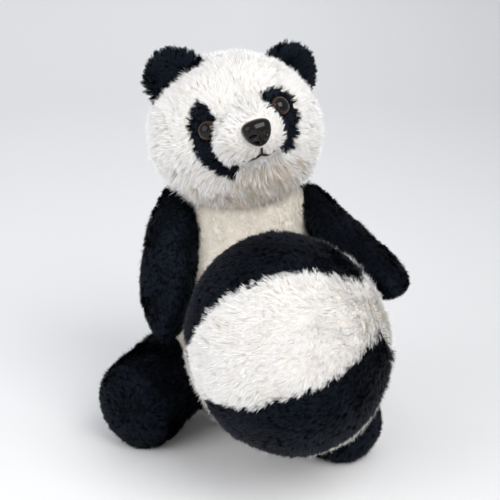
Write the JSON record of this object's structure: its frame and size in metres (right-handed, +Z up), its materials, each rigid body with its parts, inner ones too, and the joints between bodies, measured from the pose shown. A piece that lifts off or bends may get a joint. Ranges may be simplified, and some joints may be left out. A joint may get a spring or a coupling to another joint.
{
  "type": "plush panda with ball",
  "caption": "Sitting plush panda in black and white pile that holds a striped plush ball in its lap, with a stuffed head, body, arms and legs.",
  "frame": {"origin": "on the floor under the torso, in the flat underside of the seat", "axes": "+Z up, the panda faces -Y, +X to the right as seen from the front"},
  "size_m": [0.2365, 0.2842, 0.308],
  "materials": {
    "white_pile": "long white pile",
    "cream_pile": "short cream pile",
    "black_pile": "medium black pile with a blue sheen",
    "stuffing": "loose polyester fibre",
    "thread": "embroidery thread",
    "eye_plastic": "gloss, amber ring round a black pupil",
    "nose_plastic": "gloss",
    "washer_plastic": "matt"
  },
  "bodies": {
    "torso": {"belly_left": "cream_pile", "belly_right": "cream_pile", "shoulder_band": "black_pile", "back_left": "white_pile", "back_right": "white_pile", "seat": "white_pile", "torso_stuffing": "stuffing"},
    "neck": {"neck_stuffing": "stuffing"},
    "head": {"face_left": "white_pile", "face_right": "white_pile", "head_back_left": "white_pile", "head_back_right": "white_pile", "eye_patch_left": "black_pile", "eye_patch_right": "black_pile", "muzzle": "white_pile", "eye_left": "eye_plastic", "eye_right": "eye_plastic", "eye_washer_left": "washer_plastic", "eye_washer_right": "washer_plastic", "nose": "nose_plastic", "nose_washer": "washer_plastic", "mouth_stitching": "thread", "ear_left_front": "black_pile", "ear_left_back": "black_pile", "ear_right_front": "black_pile", "ear_right_back": "black_pile", "head_stuffing": "stuffing"},
    "arm_left": {"arm_left_outer": "black_pile", "arm_left_inner": "black_pile", "arm_left_stuffing": "stuffing"},
    "arm_right": {"arm_right_outer": "black_pile", "arm_right_inner": "black_pile", "arm_right_stuffing": "stuffing"},
    "leg_left": {"leg_left_outer": "black_pile", "leg_left_inner": "black_pile", "sole_left": "black_pile", "leg_left_stuffing": "stuffing"},
    "leg_right": {"leg_right_outer": "black_pile", "leg_right_inner": "black_pile", "sole_right": "black_pile", "leg_right_stuffing": "stuffing"},
    "ball": {"ball_gore_1": "white_pile", "ball_gore_2": "black_pile", "ball_gore_3": "white_pile", "ball_gore_4": "black_pile", "ball_gore_5": "white_pile", "ball_gore_6": "black_pile", "ball_cap_left": "white_pile", "ball_cap_right": "white_pile", "ball_stuffing": "stuffing"}
  },
  "joints": [
    {"name": "head_turn", "type": "hinge", "parent": "torso", "child": "neck", "pos_m": [-0.012, -0.012, 0.244], "axis": [0, 0, 1], "range_deg": [-35, 35], "stiffness_Nm_per_rad": 0.2},
    {"name": "head_nod", "type": "hinge", "parent": "neck", "child": "head", "pos_m": [-0.012, -0.012, 0.244], "axis": [1, 0, 0], "range_deg": [-15, 12], "stiffness_Nm_per_rad": 0.2},
    {"name": "arm_left_lift", "type": "hinge", "parent": "torso", "child": "arm_left", "pos_m": [-0.043, -0.012, 0.194], "axis": [0, 1, 0], "range_deg": [0, 30]},
    {"name": "arm_right_lift", "type": "hinge", "parent": "torso", "child": "arm_right", "pos_m": [0.032, -0.008, 0.19], "axis": [0, -1, 0], "range_deg": [0, 30]},
    {"name": "leg_left_spread", "type": "hinge", "parent": "torso", "child": "leg_left", "pos_m": [-0.076, 0.034, 0.04], "axis": [0, 0, -1], "range_deg": [0, 30], "stiffness_Nm_per_rad": 0.2},
    {"name": "leg_right_spread", "type": "hinge", "parent": "torso", "child": "leg_right", "pos_m": [0.074, 0.024, 0.04], "axis": [0, 0, 1], "range_deg": [0, 30], "stiffness_Nm_per_rad": 0.2},
    {"name": "ball_lift_out", "type": "slide", "parent": "torso", "child": "ball", "axis": [0, -0.8, 0.6], "range_m": [0, 0.2]}
  ]
}
